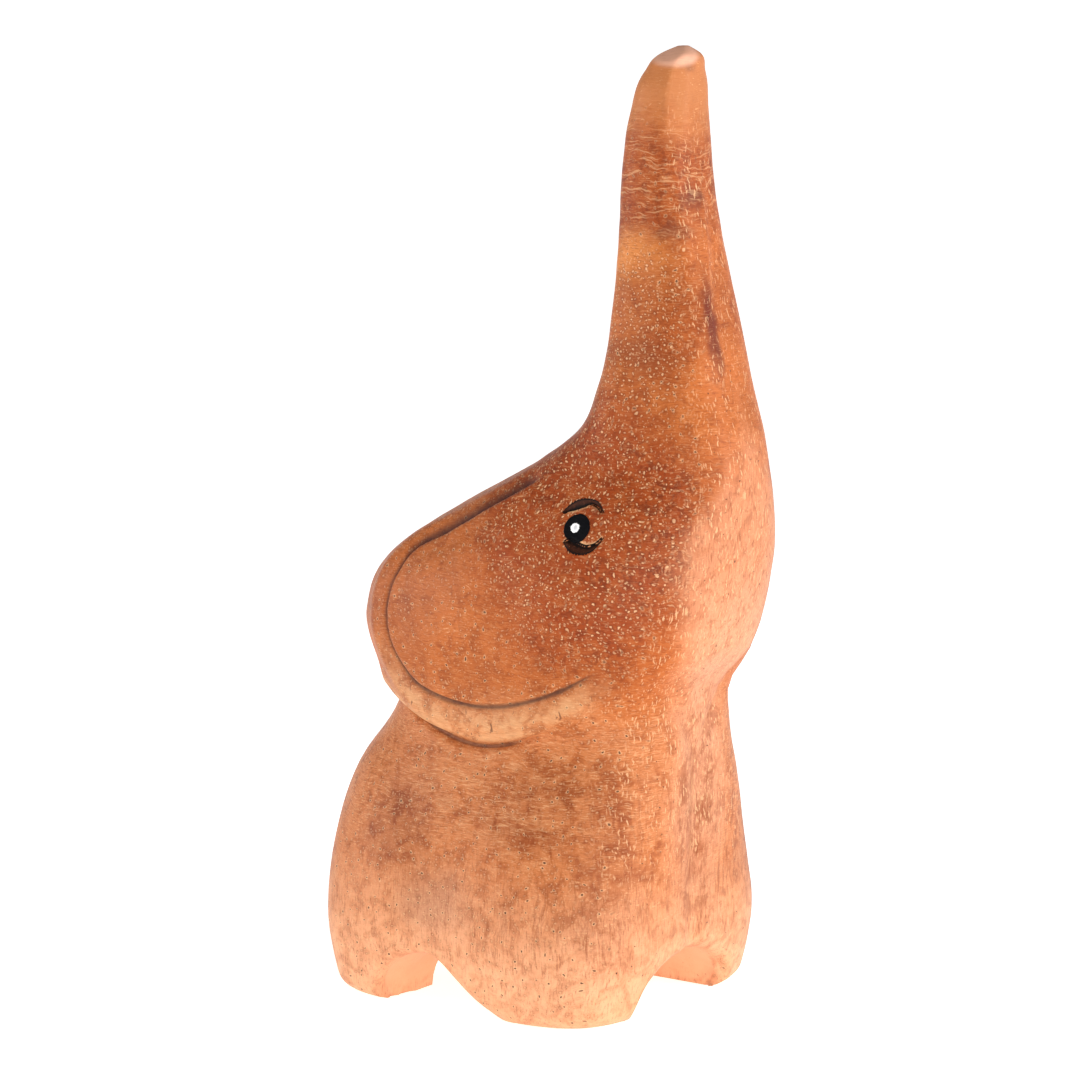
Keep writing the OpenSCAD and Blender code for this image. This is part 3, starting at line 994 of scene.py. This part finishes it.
def lid_finish(paint):
    """Burnt-in stain: black at the bottom of the cut, deepened there with painted shadow, and brown
    up its slope, worn in streaks.
    """
    f = Finish("lid_stain", 0.5, 0.0, 0.3, 0.12)
    slope = f.mark("slope")
    worn = f.noise(f.scaled(f.place, (1.5, 1.5, 1.5)), 2.2, 4.0, 0.65)
    across = slope + (worn - 0.5) * 0.5
    middle = across.step(0.25, 0.55) * across.step(0.95, 0.7)
    # Black of the stain with painted shadow at the bottom of the cut
    colour = f.blend(middle, paint.burnt_and_shadow, paint.stain)
    colour = f.blend(middle * worn.step(0.5, 0.7) * 0.6, colour, paint.stain_worn)
    f.give("Base Color", colour)
    f.give("Roughness", 0.42 + 0.2 * worn)
    f.bump(worn, 0.08 * MM, 0.6)
    return f.material


def floor_finish(stage):
    """Smooth pale card with a barely seen grain."""
    f = Finish("pale_card", 0.8, 0.0, 0.3, 0.2)
    grain = f.noise(f.place, 0.05, 4.0, 0.6)
    shade = tuple(0.985 * c for c in stage.floor)
    f.give("Base Color", f.blend(grain, tuple(stage.floor), shade))
    f.shader.inputs["Emission Color"].default_value = (1, 1, 1, 1)
    f.shader.inputs["Emission Strength"].default_value = stage.glow
    return f.material


# ---------------------------------------------------------------- what a user may change

def length(name, description, default):
    """A length in metres that a user may change."""
    return FloatProperty(name=name, description=description, default=default, min=0.0,
                         unit="LENGTH", precision=5)


def tint(name, description, default):
    """A colour that a user may change."""
    return FloatVectorProperty(name=name, description=description, default=default,
                               subtype="COLOR", size=3, min=0.0, max=1.0)


class ElephantShape(bpy.types.PropertyGroup):
    """Sizes of the carver's cuts and of the painted eyes."""

    groove_depth: length("Ear cut", "Depth of the cut round each ear", 0.56 * MM)
    lid_depth: length("Lid cut", "Depth of the cuts over and under each eye", 0.5 * MM)
    tail_height: length("Tail", "Height of the tail over the rump", 0.8 * MM)
    unevenness: length("Unevenness", "Rise and fall of the hand-smoothed wood", 0.1 * MM)
    pupil_w: length("Pupil width", "Width of the black of the eye", 3.55 * MM)
    pupil_h: length("Pupil height", "Height of the black of the eye", 3.3 * MM)
    glint_d: length("Glint", "Width of the white dot on each pupil", 1.18 * MM)
    paint: length("Paint", "Thickness of the paint", 0.09 * MM)
    stain: length("Stain", "Thickness of the stain", 0.08 * MM)


class ElephantWood(bpy.types.PropertyGroup):
    """Colours of the wood."""

    tan: tint("Tan", "Most of the body", (0.53, 0.18, 0.062))
    amber: tint("Amber", "Warmer wood between the tan", (0.55, 0.185, 0.062))
    chestnut: tint("Chestnut", "Most of the head and trunk", (0.39, 0.098, 0.02))
    sienna: tint("Sienna", "Warmer wood between the chestnut", (0.49, 0.13, 0.028))
    walnut: tint("Walnut", "Dark mottle of the heartwood", (0.13, 0.016, 0.003))
    umber: tint("Umber", "Growth rings and smudges", (0.2, 0.036, 0.007))
    heart: tint("Heart", "Heartwood round the eyes", (0.29, 0.046, 0.006))
    # Colour of the front: wood tone with painted light in it
    rosy_front_light: tint("Rosy", "Sapwood at the front", (0.68, 0.31, 0.17))
    # Pale paints the floor's bounce light on the feet and under the arches
    pale: tint("Pale", "Sapwood of the feet", (0.8, 0.4, 0.22))
    tip: tint("Tip", "Smooth wood of the trunk's tip", (0.46, 0.165, 0.055))
    # Painted highlight colour of the flat at the tip of the trunk
    flat: tint("Flat", "Flat at the top of the trunk", (0.7, 0.38, 0.26))
    # Cream also paints the highlight along the ear's lower rim and lip
    cream: tint("Cream", "Pale fibres and freshly cut edges", (0.74, 0.43, 0.21))
    pore: tint("Pore", "Pale tissue round the pores", (0.8, 0.48, 0.25))
    pinhole: tint("Pinhole", "Open pores", (0.05, 0.015, 0.008))
    # Groove paints the shade in the ear cuts and the crease under the ears, and the dark of the
    # rim's cracks
    groove: tint("Groove", "Stain in the carver's cuts", (0.075, 0.022, 0.014))
    russet: tint("Russet", "Dark streak up the trunk", (0.13, 0.014, 0.004))
    plum: tint("Plum", "Blotches on the trunk", (0.09, 0.024, 0.018))
    glow: tint("Glow", "Orange patches", (0.68, 0.24, 0.055))
    ash: tint("Ash", "Greyish smudge over the arch", (0.28, 0.16, 0.11))


class ElephantPaint(bpy.types.PropertyGroup):
    """Colours of the eyes."""

    black: tint("Black", "Paint of the pupils", (0.002, 0.002, 0.003))
    black_worn: tint("Worn black", "Thin paint at the pupils", (0.008, 0.008, 0.01))
    white: tint("White", "Paint of the glints", (0.86, 0.86, 0.85))
    grey: tint("Grey", "Drag of the brush in the glints", (0.42, 0.42, 0.44))
    # Black of the burnt stain and of painted shadow at the bottom of the lid cuts
    burnt_and_shadow: tint("Burnt", "Bottom of the lids' cuts", (0.007, 0.003, 0.002))
    stain: tint("Stain", "Slope of the lids' cuts", (0.04, 0.011, 0.005))
    stain_worn: tint("Worn stain", "Outer edge of the lids", (0.12, 0.035, 0.015))


class ElephantStage(bpy.types.PropertyGroup):
    """Floor, lights and camera."""

    floor: tint("Floor", "Colour of the floor", (0.93, 0.93, 0.93))
    glow: FloatProperty(name="Glow", description="Light that the floor itself gives", default=0.72)
    floor_r: length("Floor radius", "Radius of the level floor", 3.4)
    sweep_r: length("Sweep radius", "Radius of the curve that the floor rises in", 0.3)
    azimuth: FloatProperty(name="Azimuth", description="Camera's turn from the right side",
                           default=np.radians(35), subtype="ANGLE")
    elevation: FloatProperty(name="Elevation", description="Camera's rise over the floor",
                             default=np.radians(9.6), subtype="ANGLE")
    distance: length("Distance", "From the camera to the middle of the figure", 0.566)
    aim: length("Aim", "Height that the camera looks at", 0.057)
    lens: FloatProperty(name="Lens", description="Focal length on a sensor 36 mm wide",
                        default=150, unit="CAMERA")


# ---------------------------------------------------------------- the pieces

class CarveBlock(bpy.types.Operator):
    """Carve the block: trunk, head, ears, body, legs and tail, all one piece of wood"""

    bl_idname = "elephant.carve_block"
    bl_label = "Carve the block"

    def execute(self, context):
        shape = context.scene.elephant_shape
        rows, angle, belly = block_rows()
        for towards_flat, reach in TRUNK_FLATS:
            rows = pare(rows, towards_flat, reach)
        height, marks = relief(rows, angle, shape)
        chips = 0.5 + 0.5 * waves(rows, 21, 6, 1.8, 3.4)
        height -= 0.16 * chips * belly * smooth(rows[..., 2] / 1.5)
        # Painted light: a mask under the belly for laying the arches' underside pale, standing in
        # for light bounced up from the floor
        marks["tunnel_bounce_light"] = belly * smooth(rows[..., 2] / 2)
        rows = rows + height[..., None] * rows_out(rows)
        tip = rows[0].mean(0)
        tip[2] = max(tip[2], rows[..., 2].max())
        crown = (CROWN_X, 0, float(vault(np.array(CROWN_X), np.array(0.0))))
        points, faces = skin(rows, tip, crown)
        ends = {name: np.append(values.ravel(), (0, belly[-1, 0])) for name, values in marks.items()}
        piece = new_piece("wooden_block", points, faces, ends)
        dress(piece, wood_finish(context.scene.elephant_wood), "carved_block")
        return {"FINISHED"}


def round_places(middle, width, height, wobble, seed, count=25):
    """Places on a round spot: a square grid bulged into a disc, whose edge wanders in and out
    by a few sine waves of its angle."""
    draw = np.random.default_rng(seed)
    line = np.linspace(-1, 1, count)
    u, v = np.meshgrid(line, line, indexing="ij")
    a = u * np.sqrt(1 - v * v / 2)
    b = v * np.sqrt(1 - u * u / 2)
    angle = np.arctan2(b, a)
    edge_wave = sum(
        draw.uniform(0.4, 1) * np.sin(n * angle + draw.uniform(0, 2 * np.pi)) for n in (3, 5, 8, 13)
    )
    size = 1 + wobble * edge_wave
    return np.stack((middle[0] + width / 2 * a * size, middle[1] + height / 2 * b * size), -1)


class PaintPupils(bpy.types.Operator):
    """Paint the black pupil on each eye"""

    bl_idname = "elephant.paint_pupils"
    bl_label = "Paint the pupils"

    def execute(self, context):
        shape = context.scene.elephant_shape
        finish = pupil_finish(context.scene.elephant_paint)
        places = round_places(EYE, shape.pupil_w / MM, shape.pupil_h / MM, 0.014, 5)
        coat_both(shape, places, SUNK, shape.paint / MM, finish, "_eye_black", "_pupil")
        return {"FINISHED"}


class PaintGlints(bpy.types.Operator):
    """Paint the white dot on each pupil"""

    bl_idname = "elephant.paint_glints"
    bl_label = "Paint the glints"

    def execute(self, context):
        shape = context.scene.elephant_shape
        finish = glint_finish(context.scene.elephant_paint)
        size = shape.glint_d / MM
        coats = shape.paint / MM
        places = round_places(EYE + GLINT_OFF, size, 0.93 * size, 0.04, 8, 17)
        coat_both(shape, places, 0.3 * coats, 1.8 * coats, finish, "_eye_white", "_glint")
        return {"FINISHED"}


class StainLids(bpy.types.Operator):
    """Stain the cut over and the cut under each eye"""

    bl_idname = "elephant.stain_lids"
    bl_label = "Stain the lids"

    def execute(self, context):
        shape = context.scene.elephant_shape
        finish = lid_finish(context.scene.elephant_paint)
        for name, lid in LIDS.items():
            pick = np.linspace(0, len(lid.inner) - 1, LID_POINTS[0]).astype(int)
            ragged = 0.05 * np.sin(pick * 0.31) + 0.04 * np.sin(pick * 0.83 + 1)
            share = np.linspace(-0.08, 1, LID_POINTS[1])[None, :] * (1 + ragged[:, None])
            places = mix(lid.inner[pick][:, None], lid.outer[pick][:, None], share[..., None])
            if not lid_outwards(places):
                places = places[:, ::-1]
                share = share[:, ::-1]
            coat_both(shape, places, SUNK, shape.stain / MM, finish, "_lid_" + name,
                      "_" + name + "_lid", share)
        return {"FINISHED"}


def lid_outwards(places):
    """Whether a grid of places turns the way that faces its coat outwards."""
    down = places[1, 0] - places[0, 0]
    over = places[0, 1] - places[0, 0]
    return down[0] * over[1] - down[1] * over[0] > 0


def towards(azimuth, elevation):
    """Direction from the figure at an azimuth from its right side and an elevation."""
    flat = np.cos(elevation)
    return Vector((np.sin(azimuth) * flat, -np.cos(azimuth) * flat, np.sin(elevation)))


def aimed(data, target, direction, distance):
    """A light or camera at a distance from a target, turned to look at it."""
    thing = bpy.data.objects.new(data.name, data)
    thing.location = target + distance * direction
    thing.rotation_euler = direction.to_track_quat("Z", "Y").to_euler()
    bpy.context.scene.collection.objects.link(thing)
    return thing


class SetStage(bpy.types.Operator):
    """Lay the floor and set up the lights and the camera"""

    bl_idname = "elephant.set_stage"
    bl_label = "Set the stage"

    def execute(self, context):
        stage = context.scene.elephant_stage
        self.lay_floor(stage)
        target = Vector((-MIDDLE_X * MM, 0, stage.aim))
        camera = bpy.data.cameras.new("camera")
        camera.lens = stage.lens
        camera.sensor_width = 36
        place = towards(stage.azimuth, stage.elevation)
        context.scene.camera = aimed(camera, target, place, stage.distance)
        for name, turn, rise, distance, width, height, power, colour in LIGHTS:
            light = bpy.data.lights.new(name, "AREA")
            light.shape = "RECTANGLE"
            light.size = width
            light.size_y = height
            light.energy = power
            light.color = colour
            direction = towards(stage.azimuth + np.radians(turn), np.radians(rise))
            aimed(light, target, direction, distance)
        self.light_world(context.scene)
        context.scene.view_settings.view_transform = "Standard"
        return {"FINISHED"}

    def lay_floor(self, stage):
        """Floor: a profile, level out to a radius and then a quarter circle up, turned round."""
        level = np.linspace(0.02, 1, 14) ** 1.5 * stage.floor_r
        rise = np.linspace(0, np.pi / 2, 17)[1:]
        r = np.concatenate((level, stage.floor_r + stage.sweep_r * np.sin(rise)))
        z = np.concatenate((np.zeros(len(level)), stage.sweep_r * (1 - np.cos(rise))))
        turn = np.linspace(0, 2 * np.pi, FLOOR_COLUMNS + 1)[:-1]
        rows = np.stack((np.outer(r, np.cos(turn)), np.outer(r, np.sin(turn)),
                         np.outer(z, np.ones_like(turn))), -1)
        rows = rows / MM + (MIDDLE_X, 0, 0)
        n = len(turn)
        points = np.concatenate((rows.reshape(-1, 3), ((MIDDLE_X, 0, 0),)))
        j = np.arange(n)
        fan = np.stack((np.full(n, len(points) - 1), j, (j + 1) % n), -1)
        floor = new_piece("floor", points, (grid_faces(len(rows), n, True), fan))
        floor.data.materials.append(floor_finish(stage))

    def light_world(self, scene):
        """Sky: bright at the horizon and dimmer overhead."""
        world = bpy.data.worlds.new("studio")
        world.use_nodes = True
        scene.world = world
        recipe = Recipe(world.node_tree)
        up = recipe.split(recipe.add("ShaderNodeTexCoord").outputs["Generated"])[2]
        colour = recipe.blend(up.step(0.0, 0.85), SKY_LOW, SKY_HIGH)
        sky = recipe.add("ShaderNodeBackground", {}, {"Color": colour, "Strength": 1.0})
        recipe.add("ShaderNodeOutputWorld", {}, {"Surface": sky.outputs["Background"]})


class ElephantPanel(bpy.types.Panel):
    """Sidebar list of the figure's pieces and their settings"""

    bl_idname = "VIEW3D_PT_elephant"
    bl_label = "Elephant"
    bl_space_type = "VIEW_3D"
    bl_region_type = "UI"
    bl_category = "Elephant"

    def draw(self, context):
        for step in STEPS:
            self.layout.operator(step.bl_idname)
        for name, group in GROUPS.items():
            box = self.layout.box()
            for setting in group.__annotations__:
                box.prop(getattr(context.scene, name), setting)


STEPS = (CarveBlock, PaintPupils, PaintGlints, StainLids, SetStage)
GROUPS = {
    "elephant_shape": ElephantShape,
    "elephant_wood": ElephantWood,
    "elephant_paint": ElephantPaint,
    "elephant_stage": ElephantStage,
}


def register():
    for cls in (*GROUPS.values(), *STEPS, ElephantPanel):
        bpy.utils.register_class(cls)
    for name, group in GROUPS.items():
        setattr(bpy.types.Scene, name, bpy.props.PointerProperty(type=group))


def unregister():
    for name in GROUPS:
        delattr(bpy.types.Scene, name)
    for cls in (ElephantPanel, *reversed(STEPS), *reversed(GROUPS.values())):
        bpy.utils.unregister_class(cls)


def main():
    register()
    bpy.ops.elephant.carve_block()
    bpy.ops.elephant.paint_pupils()
    bpy.ops.elephant.paint_glints()
    bpy.ops.elephant.stain_lids()
    bpy.ops.elephant.set_stage()


if __name__ == "__main__":
    main()
